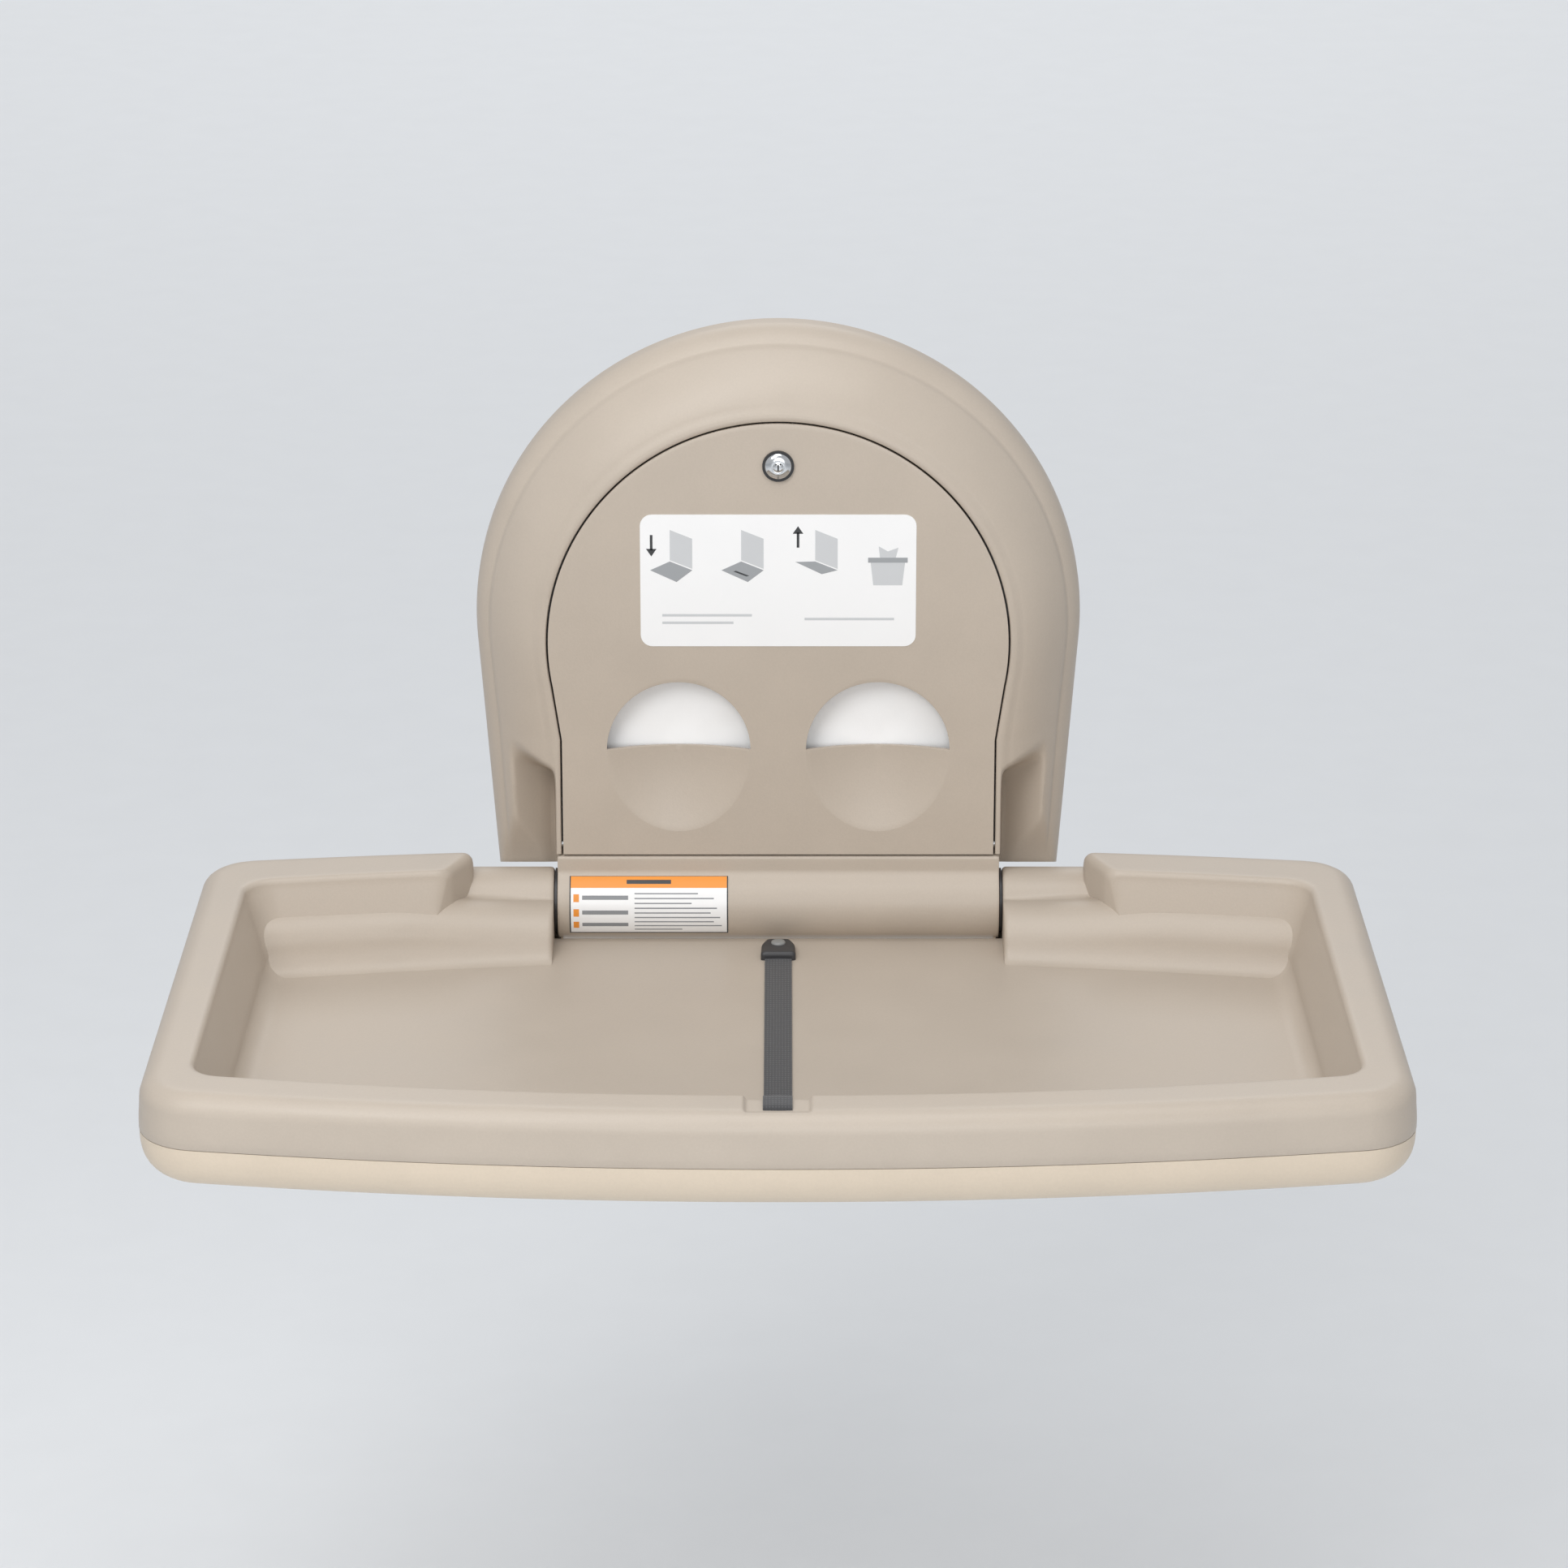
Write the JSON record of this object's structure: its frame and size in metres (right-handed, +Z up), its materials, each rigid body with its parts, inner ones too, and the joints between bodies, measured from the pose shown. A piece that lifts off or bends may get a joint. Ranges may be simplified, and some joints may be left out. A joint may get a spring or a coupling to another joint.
{
  "type": "changing table",
  "caption": "Wall-mounted fold-down changing table: domed housing with a lockable liner door, and a shallow bed with a safety strap that folds up over it.",
  "frame": {"origin": "middle of the steel back plate's face that lies on the wall", "axes": "+Y into the wall, -Y out into the room, +X along the wall to the right, +Z up; bed drawn open"},
  "size_m": [0.899, 0.5715, 0.5048],
  "materials": {
    "housing_plastic": "moulded, fine satin grain",
    "shell_plastic": "moulded, fine satin grain",
    "inner_plastic": "moulded",
    "zinc_steel": "zinc plated",
    "black_steel": "black lacquer",
    "nylon": "moulded",
    "liner_paper": "soft folded paper",
    "label_film": "printed film",
    "lock_chrome": "bright chrome",
    "webbing": "woven polyester webbing",
    "buckle_plastic": "moulded",
    "button_plastic": "moulded"
  },
  "bodies": {
    "root": {"mounting_chassis": "zinc_steel", "body_shell": "housing_plastic", "hinge_cover": "housing_plastic", "hinge_bracket_left": "zinc_steel", "hinge_bracket_right": "zinc_steel", "bracket_bush_left": "nylon", "bracket_bush_right": "nylon", "liner_box_left": "inner_plastic", "liner_box_right": "inner_plastic", "liner_stack_left": "liner_paper", "liner_stack_right": "liner_paper", "damper_cylinder": "black_steel", "damper_clamp": "zinc_steel", "door_pivots": "zinc_steel", "lock_catch": "zinc_steel", "caution_label": "label_film"},
    "bed": {"bed_tray": "housing_plastic", "bed_shell": "shell_plastic", "bed_frame": "zinc_steel", "hinge_shaft": "zinc_steel", "hinge_arm_left": "zinc_steel", "hinge_arm_right": "zinc_steel", "thrust_washers": "buckle_plastic", "damper_crank": "zinc_steel", "strap": "webbing", "strap_buckle": "buckle_plastic", "strap_end_clamp": "buckle_plastic", "shell_screws": "zinc_steel"},
    "door": {"door_panel": "housing_plastic", "instruction_label": "label_film", "lock_housing": "black_steel", "lock_nut": "zinc_steel"},
    "lock": {"lock_plug": "lock_chrome", "lock_cam": "zinc_steel"},
    "damper_rod": {"damper_rod": "lock_chrome"},
    "buckle_button": {"buckle_button": "button_plastic"},
    "pusher_left": {"liner_pusher_left": "inner_plastic"},
    "pusher_right": {"liner_pusher_right": "inner_plastic"}
  },
  "joints": [
    {"name": "bed_fold", "type": "hinge", "parent": "root", "child": "bed", "pos_m": [0, -0.052, -0.23], "axis": [1, 0, 0], "range_deg": [-90, 0]},
    {"name": "door_swing", "type": "hinge", "parent": "root", "child": "door", "pos_m": [0, -0.06, -0.1799], "axis": [1, 0, 0], "range_deg": [0, 80]},
    {"name": "lock_turn", "type": "hinge", "parent": "door", "child": "lock", "pos_m": [0, -0.055, 0.1265], "axis": [0, -1, 0], "range_deg": [0, 90]},
    {"name": "buckle_press", "type": "slide", "parent": "bed", "child": "buckle_button", "axis": [0, 0, -1], "range_m": [0, 0.002], "stiffness_N_per_m": 600},
    {"name": "pusher_left_slide", "type": "slide", "parent": "root", "child": "pusher_left", "axis": [0, -1, 0], "range_m": [-0.014, 0], "stiffness_N_per_m": 60, "springref_m": 0.02},
    {"name": "pusher_right_slide", "type": "slide", "parent": "root", "child": "pusher_right", "axis": [0, -1, 0], "range_m": [-0.014, 0], "stiffness_N_per_m": 60, "springref_m": 0.02},
    {"name": "damper_slide", "type": "slide", "parent": "root", "child": "damper_rod", "axis": [0, 0, 1], "range_m": [-0.04, 0]}
  ],
  "couplings": [
    {"joint": "damper_slide", "follows": "bed_fold", "m_per_rad": 0.025209}
  ]
}
